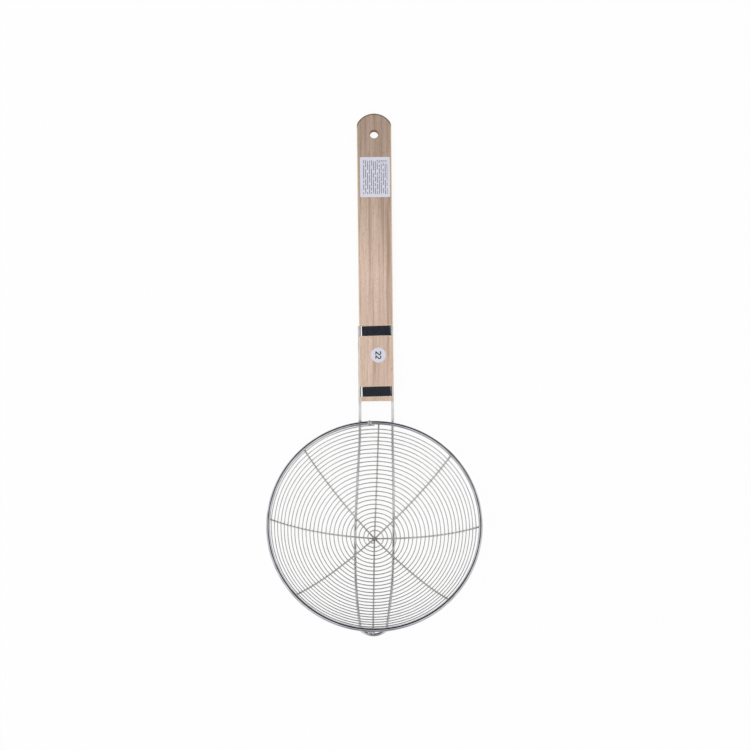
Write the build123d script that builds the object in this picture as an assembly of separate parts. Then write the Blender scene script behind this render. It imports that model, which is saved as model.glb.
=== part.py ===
from build123d import *
import math
import os

# Spider skimmer: a round bowl of one long wire wound in a spiral, on four crossed ribs,
# inside a thick rim ring. A hairpin of thicker wire runs under the bowl and clips into
# the edges of a flat wooden handle.
# Lengths are in millimetres and angles in degrees.
# It is drawn in a working frame: X to the right, Y from the bowl to the handle's tip,
# Z up. The near rim wire's centre is over Y zero, and Z zero is the handle's mid plane.
# At the end it is laid down, on the hairpin's belly and the handle's tip.

# Rim ring
rim_outer_diameter = 220.0
rim_wire = 4.0

# Bowl: the spiral wire's centre line lies on a sphere
bowl_radius = 132.0
bowl_to_handle = 21.1
spiral_wire = 1.2
spiral_turns = 25.5
spiral_start = 6.0
spiral_to_rim = 3.2
spiral_shift = 2.4

# Ribs, with the angle of each half seen from inside, handle up, and the order in which
# they are stacked where they cross
rib_wire = 1.8
rib_angles = {
    "rib_diagonal_left": (132.4, -45.9, 0),
    "rib_crosswise": (176.8, -1.1, 1),
    "rib_diagonal_right": (42.8, -137.5, 2),
    "rib_lengthwise": (87.6, -90.7, 3),
}
rib_set_down_share = 0.44
rib_joggle = 11.0

# Hairpin frame: half distances between its rails, and the nose loop past the far rim
rail_wire = 3.0
rail_half_gap = 17.35
rail_shift = -0.55
belly_half_gap = 20.5
nose_half_gap = 13.0
nose_reach = 4.2
nose_drop = 2.8
rail_bend_radius = 20.0
neck_shift = 2.45
nose_shift = -0.8

# Handle: one flat board with two notched necks
board_length = 309.0
board_width_front = 35.8
board_width_tip = 37.1
board_thickness = 8.0
board_edge_radius = 1.4
handle_lean = 0.58
handle_to_rim = 22.9
front_piece = 4.8
front_notch = 10.8
middle_block = 53.6
rear_notch = 11.3
neck_width = 28.7
neck_thickness = 6.0
notch_chamfer = 0.7
tip_rise = 14.0
tip_corner_radius = 9.5
hole_radius = 4.6
hole_from_tip = 22.7

# Neck bands
band_wall = 0.8
band_length = 10.2
band_corner_radius = 1.3

# Paper labels
label_thickness = 0.15
label_width = 32.0
label_height = 43.3
label_corner_radius = 1.0
label_from_tip = 69.2
label_shift = 0.6
round_label_diameter = 15.9
round_label_from_front = 48.8
round_label_shift = 2.2

# Welds
rim_butt_radius = 2.55
rim_butt_from_centre = 5.1
rib_weld_radius = 1.5
rail_weld_radius = 2.3
nose_weld_radius = 1.85
nose_weld_left = 4.9
nose_weld_right = 1.0

# Clearances and overruns
wire_gap = 0.1
nose_gap = 0.45
weld_gap = 0.05
groove_gap = 0.05
shoulder_gap = 0.2
overrun = 5.0

# Stations of each rail under the bowl, from the near rim to the far rim: the angle as a
# share of the rim's own angle, how far the half distance has gone from the one width to
# the next, and how much of the neck's or the nose's sideways shift it has
near_station_shares = ((0.48, 0.62, 0.45), (0.0, 1.0, 0.0))
far_station_shares = ((-0.44, 0.75, 0.5), (-0.7, 0.36, 1.0), (-0.86, 0.08, 1.0))
nose_corner_share = 0.86
nose_corner_reach_share = 0.25
# Headings that differ by less than this share of a right angle are taken as straight
straight_share = 1e-7
heading_step_share = 1e-4
gap_samples_per_turn = 48
rest_tilt_steps = 60
rail_samples = 400

# Sizes that follow from these
rim_radius = rim_outer_diameter / 2 - rim_wire / 2
rib_out = spiral_wire / 2 + wire_gap + rib_wire / 2
rail_out = rib_out + rib_wire / 2 + wire_gap + rail_wire / 2
rim_out = rail_out - rail_wire / 2 - wire_gap - rim_wire / 2
rim_angle = math.degrees(math.asin(rim_radius / (bowl_radius + rim_out)))
rim_arc = bowl_radius * math.radians(rim_angle)
rim_slope = rim_angle - bowl_to_handle
spiral_end = rim_arc - spiral_to_rim
spiral_pitch = (spiral_end - spiral_start) / spiral_turns
bend_tangent = rail_bend_radius * math.tan(math.radians(rim_slope / 2))
bend_cut = rail_bend_radius * (1 / math.cos(math.radians(rim_slope / 2)) - 1)
rim_over_rail = rim_wire / 2 + rail_wire / 2 + wire_gap + bend_cut
rear_shoulder = front_piece + front_notch + middle_block + rear_notch


# Arcs and tubes

def arc_from(start, heading, end):
    """The arc that leaves start along heading and ends at end."""
    chord = end - start
    along = chord.normalized()
    side = heading - along * heading.dot(along)
    if side.length < straight_share:
        return Line(start, end)
    half_turn = math.radians(heading.get_angle(along))
    rise = chord.length / 2 * math.tan(half_turn / 2)
    middle = start + chord * 0.5 + side.normalized() * rise
    return ThreePointArc(start, middle, end)


def biarc(start, heading_in, end, heading_out):
    """Two arcs, smooth where they join, from one point and heading to the next."""
    span = end - start
    both = span.dot(heading_in + heading_out)
    spread = 1 - heading_in.dot(heading_out)
    if spread < straight_share:
        pull = span.dot(span) / (2 * both)
    else:
        root = math.sqrt(both * both + 2 * spread * span.dot(span))
        pull = (root - both) / (2 * spread)
    near_corner = start + heading_in * pull
    far_corner = end - heading_out * pull
    joint = (near_corner + far_corner) * 0.5
    joint_heading = (far_corner - near_corner).normalized()
    return [arc_from(start, heading_in, joint), arc_from(joint, joint_heading, end)]


def biarc_wire(points, headings):
    """One smooth wire of arcs through the points, each passed along its heading."""
    edges = []
    for number in range(len(points) - 1):
        here, there = points[number], points[number + 1]
        edges += biarc(here, headings[number], there, headings[number + 1])
    return Wire(edges)


def tube(path, diameter):
    """A round wire of this diameter along the path."""
    section = Plane(origin=path @ 0, z_dir=path % 0) * Circle(diameter / 2)
    return sweep(section, path=path).solid()


def middle_headings(points, first, last):
    """At each inner point, the way of the circle through it and its two neighbours."""
    headings = [first]
    for before, here, after in zip(points, points[1:], points[2:]):
        back = here - before
        ahead = after - here
        way = back * (ahead.length / back.length) + ahead * (back.length / ahead.length)
        headings.append(way.normalized())
    return headings + [last]


# Places on the bowl, in the working frame

def bowl_frame():
    """The bowl's own frame: origin at its deepest point, Z along its axis to the rim."""
    tilt = Rot(X=-bowl_to_handle)
    near_rim = Vector(0, rim_radius, rim_height())
    turned = (tilt * Pos(near_rim)).position
    return Pos(0, -turned.Y, rim_over_rail - turned.Z) * tilt


def rim_height():
    """How high the rim's centre stands over the bowl's deepest point."""
    return bowl_radius - (bowl_radius + rim_out) * math.cos(math.radians(rim_angle))


def placed(point):
    """A point of the bowl's own frame, given in the working frame."""
    return (bowl * Pos(point)).position


def wall_point(across, along, out):
    """A point measured on the wall from the bowl's deepest point, and then outwards."""
    distance = math.hypot(across, along)
    if distance == 0:
        return placed(Vector(0, 0, -out))
    angle = distance / bowl_radius
    radius = (bowl_radius + out) * math.sin(angle)
    height = bowl_radius - (bowl_radius + out) * math.cos(angle)
    return placed(Vector(radius * across / distance, radius * along / distance, height))


def belly_point(x, angle, out):
    """A point under the bowl at x from its centre plane, and at this angle along it."""
    reach = math.sqrt((bowl_radius + out) ** 2 - x * x)
    y = reach * math.sin(math.radians(angle))
    z = bowl_radius - reach * math.cos(math.radians(angle))
    return placed(Vector(x, y, z))


def rim_point(x, side):
    """The rim wire's centre at x, on the handle's side (1) or the far side (-1)."""
    y = side * math.sqrt(rim_radius ** 2 - x * x)
    return placed(Vector(x, y, rim_height()))


bowl = bowl_frame()
neck = Pos(neck_shift, handle_to_rim, 0) * Rot(Z=handle_lean)


# Rim ring and spiral

def make_rim_ring(diameter):
    """The thick ring: one wire bent round, with its ends butted and welded."""
    ring = Torus(rim_radius, diameter / 2)
    return (bowl * Pos(0, 0, rim_height()) * ring).solid()


def spiral_point(turn):
    """The spiral's centre line after so many turns: it runs from the rib away from the
    handle, clockwise seen from inside, and its centre slides to the rim's centre."""
    distance = spiral_start + spiral_pitch * turn
    angle = math.radians(-90 - 360 * turn)
    slide = spiral_shift * (1 - distance / spiral_end)
    return wall_point(distance * math.cos(angle), distance * math.sin(angle) - slide, 0)


def spiral_heading(turn):
    """The spiral's direction there."""
    step = heading_step_share
    return (spiral_point(turn + step) - spiral_point(turn - step)).normalized()


def make_spiral_wire():
    """The long thin wire, in arcs of a quarter turn between points of the spiral."""
    count = round(spiral_turns * 4)
    turns = [number / 4 for number in range(count + 1)]
    points = [spiral_point(turn) for turn in turns]
    headings = [spiral_heading(turn) for turn in turns]
    return tube(biarc_wire(points, headings), spiral_wire)


def least_spiral_gap():
    """The least gap between one turn and the next, measured on points of both."""
    samples = gap_samples_per_turn
    count = int((spiral_turns - 1) * samples)
    least = math.inf
    for number in range(count):
        here = spiral_point(number / samples)
        for near in range(-3, 4):
            there = spiral_point((number + near) / samples + 1)
            least = min(least, (there - here).length - spiral_wire)
    return least


# Ribs

def rib_point(distance, direction, out):
    """A point of a rib so far from the crossing, which is at the spiral's centre."""
    angle = math.radians(direction)
    across = distance * math.cos(angle)
    along = distance * math.sin(angle) - spiral_shift
    return wall_point(across, along, out)


def rib_length(direction):
    """How far a half rib runs from the crossing before it meets the rim wire."""
    stop = rim_arc - rim_wire / 2 - wire_gap
    sine = math.sin(math.radians(direction))
    back = spiral_shift * sine
    return back + math.sqrt(back * back + stop * stop - spiral_shift ** 2)


def make_rib(one_way, other_way, level, diameter):
    """One rib: two half arcs on the wall, sunk at the crossing to its own level."""
    sunk = rib_out + level * rib_wire * (1 - rib_set_down_share)
    places = [
        (rib_length(one_way), one_way, rib_out),
        (rib_length(one_way) / 2, one_way, rib_out),
        (rib_joggle, one_way, rib_out),
        (0, one_way, sunk),
        (rib_joggle, other_way, rib_out),
        (rib_length(other_way) / 2, other_way, rib_out),
        (rib_length(other_way), other_way, rib_out),
    ]
    points = [rib_point(*place) for place in places]
    headings = []
    for distance, direction, out in places:
        step = heading_step_share * rib_joggle
        outward = rib_point(distance + step, direction, out)
        inward = rib_point(distance - step, direction, out)
        way = 1 if direction == other_way else -1
        headings.append(((outward - inward) * way).normalized())
    centre = len(places) // 2
    headings[centre] = (points[centre + 1] - points[centre - 1]).normalized()
    return tube(biarc_wire(points, headings), diameter)


def make_ribs():
    """The four ribs. Each is pressed into the one above it where they cross."""
    ribs = {}
    above = None
    for name, (one_way, other_way, level) in rib_angles.items():
        rib = make_rib(one_way, other_way, level, rib_wire)
        ribs[name] = rib if above is None else (rib - above).solid()
        above = rib
    return ribs


# Hairpin frame

def rail_side(side):
    """Points and headings of one rail, from its end in the handle to the nose."""
    rail_x = side * rail_half_gap + rail_shift
    end = (neck * Pos(rail_x, rear_shoulder - shoulder_gap, 0)).position
    to_bowl = (end - (neck * Pos(rail_x, rear_shoulder + overrun, 0)).position).normalized()
    straight = (line_meets_belly() + bend_tangent - end.Y) / to_bowl.Y
    bend = end + to_bowl * straight
    bend_angle = math.degrees(bend_tangent / (bowl_radius + rail_out))
    near_x = rail_x + neck_shift
    points = [belly_point(near_x, angle, rail_out) for angle in (rim_angle, rim_angle - bend_angle)]
    for angle_share, spread_share, shift_share in near_station_shares:
        half_gap = rail_half_gap + (belly_half_gap - rail_half_gap) * spread_share
        x = side * half_gap + neck_shift * shift_share
        points.append(belly_point(x, rim_angle * angle_share, rail_out))
    for angle_share, spread_share, shift_share in far_station_shares:
        half_gap = nose_half_gap + (belly_half_gap - nose_half_gap) * spread_share
        x = side * half_gap + nose_shift * shift_share
        points.append(belly_point(x, rim_angle * angle_share, rail_out))
    points += [nose_corner(side), nose_tip()]
    headings = middle_headings(points, to_bowl, Vector(-side, 0, 0))
    return [end, bend] + points[1:], [to_bowl] + headings


def line_meets_belly():
    """Where the handle's mid plane meets the sphere that the rails follow."""
    centre = placed(Vector(0, 0, bowl_radius))
    reach = (bowl_radius + rail_out) ** 2 - rail_half_gap ** 2
    return centre.Y + math.sqrt(reach - centre.Z ** 2)


def nose_corner(side):
    """Where a rail turns out from under the far rim."""
    x = side * nose_half_gap * nose_corner_share + nose_shift
    beside = rim_wire / 2 + rail_wire / 2 + nose_gap
    out = nose_reach * nose_corner_reach_share
    down = math.sqrt(beside ** 2 - out * out)
    y = -math.sqrt(rim_radius ** 2 - x * x) - out
    return placed(Vector(x, y, rim_height() - down))


def nose_tip():
    """The nose loop's furthest point, clear outside the far rim."""
    return placed(Vector(nose_shift, -rim_radius - nose_reach, rim_height() - nose_drop))


def make_frame_path():
    """The hairpin's centre line, from the left rail's end to the right rail's end."""
    points, headings = rail_side(-1)
    right_points, right_headings = rail_side(1)
    points += right_points[-2::-1]
    headings += [heading * -1 for heading in right_headings[-2::-1]]
    return biarc_wire(points, headings)


# Handle

def board_outline():
    """The board seen from above, its tip an arch of three arcs."""
    front = board_width_front / 2
    tip = board_width_tip / 2
    shoulder = board_length - tip_rise
    corner = tip_corner_radius
    rise, side = tip_rise - corner, tip - corner
    crown = (side ** 2 + tip_rise ** 2 - corner ** 2) / (2 * rise)
    crown_centre = board_length - crown
    corner_way = Vector(side, shoulder - crown_centre).normalized()
    meet = Vector(side, shoulder) + corner_way * corner
    half_way = (corner_way + Vector(1, 0)).normalized()
    corner_middle = Vector(side, shoulder) + half_way * corner
    edges = [
        Line((-front, 0), (front, 0)),
        Line((front, 0), (tip, shoulder)),
        ThreePointArc((tip, shoulder), corner_middle, meet),
        ThreePointArc(meet, (0, board_length), mirrored(meet)),
        ThreePointArc(mirrored(meet), mirrored(corner_middle), (-tip, shoulder)),
        Line((-tip, shoulder), (-front, 0)),
    ]
    return make_face(edges)


def mirrored(point):
    """The same point on the other side of the handle."""
    return Vector(-point.X, point.Y, point.Z)


def notch_cutter(start, length):
    """What a neck's notch takes away, with its mouth chamfered on all four faces."""
    end = start + length
    wide = board_width_tip / 2 + overrun
    high = board_thickness / 2 + overrun
    flare = notch_chamfer + overrun
    face = board_thickness / 2
    edge = board_width_front / 2
    top = Plane.YZ * make_face(Polyline(
        (start, neck_thickness / 2), (start, face - notch_chamfer), (start - flare, face + overrun),
        (end + flare, face + overrun), (end, face - notch_chamfer), (end, neck_thickness / 2),
        close=True))
    side = make_face(Polyline(
        (neck_width / 2, start), (edge - notch_chamfer, start), (edge + overrun, start - flare),
        (edge + overrun, end + flare), (edge - notch_chamfer, end), (neck_width / 2, end),
        close=True))
    top_cut = extrude(top, wide, both=True)
    side_cut = extrude(side, high, both=True)
    return top_cut + mirror(top_cut, Plane.XY) + side_cut + mirror(side_cut, Plane.YZ)


def make_handle_board():
    """The flat board: rounded edges, two necks, the rails' grooves and the hanging hole."""
    board = extrude(board_outline(), board_thickness / 2, both=True)
    faces = [board.faces().sort_by(Axis.Z)[-1], board.faces().sort_by(Axis.Z)[0]]
    front = board.faces().sort_by(Axis.Y)[0]
    long_edges = [edge for face in faces for edge in face.edges()]
    front_edges = front.edges()
    rounded = [edge for edge in long_edges if edge not in front_edges]
    board = fillet(rounded, board_edge_radius)
    groove = Cylinder(rail_wire / 2 + groove_gap, 2 * rear_shoulder, rotation=(90, 0, 0))
    groove &= Pos(0, rear_shoulder / 2 - overrun / 2, 0) * Box(
        board_width_tip, rear_shoulder + overrun, board_width_tip)
    for side in (-1, 1):
        board -= Pos(side * rail_half_gap + rail_shift, 0, 0) * groove
    board -= notch_cutter(front_piece, front_notch)
    board -= notch_cutter(rear_shoulder - rear_notch, rear_notch)
    hole = Cylinder(hole_radius, board_thickness + 2 * overrun)
    board -= Pos(0, board_length - hole_from_tip, 0) * hole
    return neck * board.solid()


def make_neck_band(notch_start, notch_length):
    """A thin sleeve round a neck."""
    width = neck_width + 2 * band_wall
    height = neck_thickness + 2 * band_wall
    outside = RectangleRounded(width, height, band_corner_radius)
    sleeve = extrude(Plane.XZ * (outside - Rectangle(neck_width, neck_thickness)), band_length)
    middle = notch_start + notch_length / 2
    return neck * Pos(0, middle + band_length / 2, 0) * sleeve.solid()


def make_product_label():
    """The oblong paper label near the tip, left blank."""
    paper = extrude(RectangleRounded(label_width, label_height, label_corner_radius), label_thickness)
    middle = board_length - label_from_tip
    return neck * Pos(label_shift, middle, board_thickness / 2) * paper.solid()


def make_size_label():
    """The small round paper label near the bowl."""
    paper = extrude(Circle(round_label_diameter / 2), label_thickness)
    place = Pos(round_label_shift, round_label_from_front, board_thickness / 2)
    return neck * place * paper.solid()


# Welds: beads that fill the corner between two wires and take nothing from them. The
# wires that are cut out of them are thicker by the weld gap.

def bead(centre, radius, wires):
    """A round bead with the wires that it joins taken out of it."""
    shape = Pos(centre) * Sphere(radius)
    for wire in wires:
        shape -= wire
    return shape.solids().sort_by(SortBy.VOLUME)[-1]


def make_rim_butt_weld(rim):
    """The raised collar where the rim wire's two ends meet."""
    return bead(rim_point(-rim_butt_from_centre, 1), rim_butt_radius, [rim])


def make_rib_end_welds(rim):
    """A bead at both ends of each rib, under the rim."""
    beads = []
    for one_way, other_way, level in rib_angles.values():
        rib = make_rib(one_way, other_way, level, rib_wire + 2 * weld_gap)
        for direction in (one_way, other_way):
            centre = rib_point(rib_length(direction), direction, rib_out)
            beads.append(bead(centre, rib_weld_radius, [rim, rib]))
    return Compound(beads)


def make_rail_welds(rim, frame):
    """A bead at each rail, where it passes under the near rim."""
    beads = []
    for side in (-1, 1):
        rim_place = rim_point(side * rail_half_gap + rail_shift + neck_shift, 1)
        rail_place = nearest_on_path(frame_path, rim_place, side)
        outward = Vector(0, rail_weld_radius / 2, 0)
        beads.append(bead((rim_place + rail_place) * 0.5 + outward, rail_weld_radius, [rim, frame]))
    return Compound(beads)


def nearest_on_path(path, place, side):
    """The point of the path nearest to a place, on one side's rail."""
    points = [path.position_at(number / rail_samples) for number in range(rail_samples + 1)]
    beside = [point for point in points if point.X * side > 0]
    return min(beside, key=lambda point: (point - place).length)


def make_nose_welds(rim, frame, rib_welds):
    """The two beads that join the far rim to the nose loop, clear of the rib's bead."""
    beads = []
    for left in (nose_weld_left, nose_weld_right):
        centre = (rim_point(-left, -1) + nose_tip() - Vector(left + nose_shift, 0, 0)) * 0.5
        beads.append(bead(centre, nose_weld_radius, [rim, frame, *rib_welds.solids()]))
    return Compound(beads)


# Laying the skimmer down

def rest_tilt(frame_path):
    """How far the handle's tip drops until it and the hairpin's belly touch the table."""
    rails = [frame_path.position_at(number / rail_samples) for number in range(rail_samples + 1)]
    tip = (neck * Pos(0, board_length - board_edge_radius, 0)).position
    tip_z = board_edge_radius - board_thickness / 2
    low, high = 0.0, bowl_to_handle
    for _ in range(rest_tilt_steps):
        tilt = (low + high) / 2
        sine, cosine = math.sin(math.radians(tilt)), math.cos(math.radians(tilt))
        belly = min(point.Z * cosine - point.Y * sine for point in rails) - rail_wire / 2
        foot = tip_z * cosine - tip.Y * sine - board_edge_radius
        if foot > belly:
            low = tilt
        else:
            high = tilt
    return (low + high) / 2


frame_path = make_frame_path()
frame_wire = tube(frame_path, rail_wire)
ribs = make_ribs()
rim_cutter = make_rim_ring(rim_wire + 2 * weld_gap)
frame_cutter = tube(frame_path, rail_wire + 2 * weld_gap)
rib_end_welds = make_rib_end_welds(rim_cutter)

nodes = {
    "handle_board": make_handle_board(),
    "neck_band_lower": make_neck_band(front_piece, front_notch),
    "neck_band_upper": make_neck_band(rear_shoulder - rear_notch, rear_notch),
    "frame_wire": frame_wire,
    "rim_ring": make_rim_ring(rim_wire),
    **ribs,
    "spiral_wire": make_spiral_wire(),
    "rim_butt_weld": make_rim_butt_weld(rim_cutter),
    "nose_welds": make_nose_welds(rim_cutter, frame_cutter, rib_end_welds),
    "rail_welds": make_rail_welds(rim_cutter, frame_cutter),
    "rib_end_welds": rib_end_welds,
    "product_label": make_product_label(),
    "size_label": make_size_label(),
}

tilt = rest_tilt(frame_path)
laid = Rot(X=-tilt)
box = Compound([laid * node for node in nodes.values()]).bounding_box()
lay = Pos(-(box.min.X + box.max.X) / 2, -(box.min.Y + box.max.Y) / 2, -box.min.Z) * laid

os.makedirs("parts", exist_ok=True)
for name, node in nodes.items():
    export_step(lay * node, f"parts/{name}.step")

# What the record and a reader of this file want to know
hole = lay * neck * Pos(0, board_length - hole_from_tip, 0)
under = lay * neck * Pos(0, board_length / 2, -board_thickness / 2)
axis = Plane(hole).z_dir
print("overall size", [round(value, 2) for value in box.size])
print("hanging hole centre", [round(value, 4) for value in hole.position], "axis", axis)
print("handle underside", [round(value, 4) for value in under.position])
print("resting tilt", round(tilt, 4), "spiral pitch", round(spiral_pitch, 3))
print("least gap between turns", round(least_spiral_gap(), 3))
path_volume = math.pi * rail_wire ** 2 / 4 * frame_path.length
print("hairpin volume against section times length", round(frame_wire.volume / path_volume, 5))
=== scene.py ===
# Looks of the spider skimmer: wound wire bowl, wire hairpin frame, flat beech handle.
# Lengths here are millimetres in the part's own frame, and metres once they are in a mesh.
import math

import bpy
import numpy as np
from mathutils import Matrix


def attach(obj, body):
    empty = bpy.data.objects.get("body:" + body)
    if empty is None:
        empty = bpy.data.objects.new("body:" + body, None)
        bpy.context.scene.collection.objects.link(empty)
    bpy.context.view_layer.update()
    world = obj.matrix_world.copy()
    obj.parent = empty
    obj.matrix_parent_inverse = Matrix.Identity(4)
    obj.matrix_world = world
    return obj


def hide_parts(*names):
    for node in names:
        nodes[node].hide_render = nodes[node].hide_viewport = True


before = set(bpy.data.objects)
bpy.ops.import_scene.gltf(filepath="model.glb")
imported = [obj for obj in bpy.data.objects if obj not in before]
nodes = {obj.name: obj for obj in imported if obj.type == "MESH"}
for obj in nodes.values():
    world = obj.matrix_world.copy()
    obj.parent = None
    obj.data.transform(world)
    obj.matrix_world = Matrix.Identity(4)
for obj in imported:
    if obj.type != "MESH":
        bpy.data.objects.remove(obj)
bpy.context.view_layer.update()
print("frame loaded,", len(nodes), "nodes")

millimetre = 0.001


bowl = {
    "lowest": (0.0, -184.611, 15.366),  # deepest point of the wall, on the spiral's centre line
    "lean": 23.5813,                    # degrees from upright, towards the handle
    "radius": 132.0,                    # of the sphere that the wires lie on
    "rimHeight": 55.239,                # rim's centre over the deepest point
    "rimRadius": 108.0,
}

handle = {
    "front": (2.45, -40.847, 17.314),   # middle of the board's front end
    "droop": -2.4813,                   # degrees about X
    "turn": 0.58,                       # degrees about Z
    "length": 309.0,
    "thickness": 8.0,
    "holeFromTip": 22.7,
    "holeRadius": 4.6,
}


def unit(vectors):
    # each vector over its own length
    return vectors / np.linalg.norm(vectors, axis=-1, keepdims=True)


def leant(points, degrees, origin):
    # turned about X by minus this angle, then moved: y' = y cos + z sin, z' = z cos - y sin
    angle = math.radians(degrees)
    x, y, z = points[..., 0], points[..., 1], points[..., 2]
    lower = z * math.cos(angle) - y * math.sin(angle)
    return np.stack([x, y * math.cos(angle) + z * math.sin(angle), lower], axis=-1) + origin


def fromBowl(points):
    # the bowl's own frame, Z up its axis, to the part's frame
    return leant(points, bowl["lean"], bowl["lowest"])


def fromBoard(points):
    # the board's own frame, Y from its front end to its tip: turned about Z, then leant
    angle = math.radians(handle["turn"])
    x, y, z = points[..., 0], points[..., 1], points[..., 2]
    turned = np.stack([x * math.cos(angle) - y * math.sin(angle),
                       x * math.sin(angle) + y * math.cos(angle), z], axis=-1)
    return leant(turned, -handle["droop"], handle["front"])


def onWall(across, along, out):
    # the distance from the deepest point is an arc of the sphere, out is along its radius
    distance = np.hypot(across, along)
    angle = distance / bowl["radius"]
    reach = bowl["radius"] + out
    share = reach * np.sin(angle) / np.maximum(distance, 1e-9)
    height = bowl["radius"] - reach * np.cos(angle)
    return fromBowl(np.stack([share * across, share * along, height], axis=-1))


ballCentre = fromBowl(np.array([0.0, 0.0, bowl["radius"]]))


def waver(distance, lengths, seed):
    # a smooth random line: sines of these wave lengths with random phases, added, about 1 high
    phases = np.random.default_rng(seed).uniform(0, 2 * math.pi, len(lengths))
    waves = [np.sin(2 * math.pi * distance / length + phase)
             for length, phase in zip(lengths, phases)]
    return sum(waves) / math.sqrt(len(lengths))


def pathLength(path):
    # the way along a path up to each of its points
    steps = np.linalg.norm(np.diff(path, axis=0), axis=1)
    return np.concatenate([[0.0], np.cumsum(steps)])


def tubeRings(path, radius, sides, closed=False):
    # A circle across the path at each point, its first point away from the bowl's ball.
    # Beside the rings it gives the marks that patterns follow: the way along the wire, and
    # the place on the circle.
    if closed:
        heading = unit(np.roll(path, -1, axis=0) - np.roll(path, 1, axis=0))
    else:
        heading = unit(np.gradient(path, axis=0))
    away = path - ballCentre
    normal = unit(away - heading * (away * heading).sum(axis=1, keepdims=True))
    side = np.cross(heading, normal)
    turn = np.linspace(0, 2 * math.pi, sides, endpoint=False)
    reach = np.ones(len(path)) * radius
    circle = (np.cos(turn)[None, :, None] * normal[:, None, :]
              + np.sin(turn)[None, :, None] * side[:, None, :])
    rings = path[:, None, :] + reach[:, None, None] * circle
    marks = np.stack(np.broadcast_arrays(pathLength(path)[:, None],
                                         reach[:, None] * np.cos(turn),
                                         reach[:, None] * np.sin(turn)), axis=-1)
    return rings, marks


def ringPiece(name, rings, material, stands=(), closed=False, marks=None, heat=None):
    # Each ring of points is joined to the next by quads. Open ends are closed by triangles
    # to their middle. The first index of rings counts separate shells of one piece. Faces
    # are turned outwards where the volume that they enclose comes out negative.
    if rings.ndim == 3:
        rings = rings[None]
    shells, count, sides, _ = rings.shape
    index = np.arange(shells * count * sides).reshape(shells, count, sides)
    here = index if closed else index[:, :-1]
    there = np.roll(index, -1, axis=1) if closed else index[:, 1:]
    quads = np.stack([here, np.roll(here, -1, axis=2), np.roll(there, -1, axis=2), there], axis=-1)
    quads = quads.reshape(-1, 4)
    triangles = np.zeros((0, 3), int)

    def withEnds(values):
        # the values of all ring points, then those of the two end middles of each shell
        values = np.asarray(values, float).reshape(shells, count, sides, -1)
        flat = values.reshape(-1, values.shape[-1])
        if closed:
            return flat
        ends = values[:, [0, -1]].mean(axis=2).reshape(-1, values.shape[-1])
        return np.concatenate([flat, ends])

    points = withEnds(rings)
    if not closed:
        middle = index.size + np.arange(shells * 2).reshape(shells, 2)
        for end, order in ((0, -1), (1, 1)):
            ring = index[:, 0 if end == 0 else -1][:, ::order]
            hub = np.broadcast_to(middle[:, end, None], ring.shape)
            fan = np.stack([hub, ring, np.roll(ring, -1, axis=1)], axis=-1)
            triangles = np.concatenate([triangles, fan.reshape(-1, 3)])

    corners = points[quads]
    volume = sum((corners[:, 0] * np.cross(corners[:, a], corners[:, b])).sum()
                 for a, b in ((1, 2), (2, 3)))
    fanCorners = points[triangles]
    volume += (fanCorners[:, 0] * np.cross(fanCorners[:, 1], fanCorners[:, 2])).sum()
    if volume < 0:
        quads, triangles = quads[:, ::-1], triangles[:, ::-1]

    mesh = bpy.data.meshes.new(name)
    mesh.vertices.add(len(points))
    mesh.vertices.foreach_set("co", (points * millimetre).ravel())
    loops = np.concatenate([quads.ravel(), triangles.ravel()])
    starts = np.concatenate([np.arange(len(quads)) * 4,
                             len(quads) * 4 + np.arange(len(triangles)) * 3])
    mesh.loops.add(len(loops))
    mesh.loops.foreach_set("vertex_index", loops)
    mesh.polygons.add(len(starts))
    mesh.polygons.foreach_set("loop_start", starts)
    mesh.update(calc_edges=True)
    mesh.shade_smooth()
    mesh.set_sharp_from_angle(angle=math.radians(50))
    if marks is not None:
        place = mesh.attributes.new("wirePlace", "FLOAT_VECTOR", "POINT")
        place.data.foreach_set("vector", (withEnds(marks) * millimetre).ravel())
    if heat is not None:
        warmth = mesh.attributes.new("weldHeat", "FLOAT", "POINT")
        warmth.data.foreach_set("value", withEnds(np.repeat(heat, sides)).ravel())
    mesh.materials.append(material)

    piece = bpy.data.objects.new(name, mesh)
    bpy.context.scene.collection.objects.link(piece)
    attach(piece, "root")
    if stands:
        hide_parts(*stands)
    return piece


def wirePiece(name, path, look, material, node, heat, closed=False):
    # a round tube along the path, with the place on the wire and one weld heat for each ring
    rings, marks = tubeRings(path, look["wire"] / 2, look["sides"], closed)
    ringPiece(name, rings, material, (node,), closed, marks, heat)


def nearWeld(distance, reach):
    # how far a weld's heat still tints: 1 at the weld, falling as a bell over its reach
    return np.exp(-(distance / reach) ** 2)


def linear(hexValue):
    # sRGB to linear light, one channel at a time
    channels = [int(hexValue[i:i + 2], 16) / 255 for i in (1, 3, 5)]
    light = [c / 12.92 if c <= 0.04045 else ((c + 0.055) / 1.055) ** 2.4 for c in channels]
    return (*light, 1.0)


ofColours = {"data_type": "RGBA"}
asShade = {"data_type": "RGBA", "blend_type": "MULTIPLY"}
softly = {"interpolation_type": "SMOOTHSTEP"}
times = {"operation": "MULTIPLY"}


def put(tree, kind, settings=None, links=None):
    # One node with its settings and what feeds it. A ramp's stops are (place, grey or hex).
    node = tree.nodes.new("ShaderNode" + kind)
    for name, value in (settings or {}).items():
        if name == "stops":
            ramp = node.color_ramp
            while len(ramp.elements) < len(value):
                ramp.elements.new(1.0)
            for element, (place, colour) in zip(ramp.elements, value):
                element.position = place
                grey = not isinstance(colour, str)
                element.color = (colour,) * 3 + (1.0,) if grey else linear(colour)
        else:
            setattr(node, name, value)
    feed(tree, node, links or {})
    return node


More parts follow.
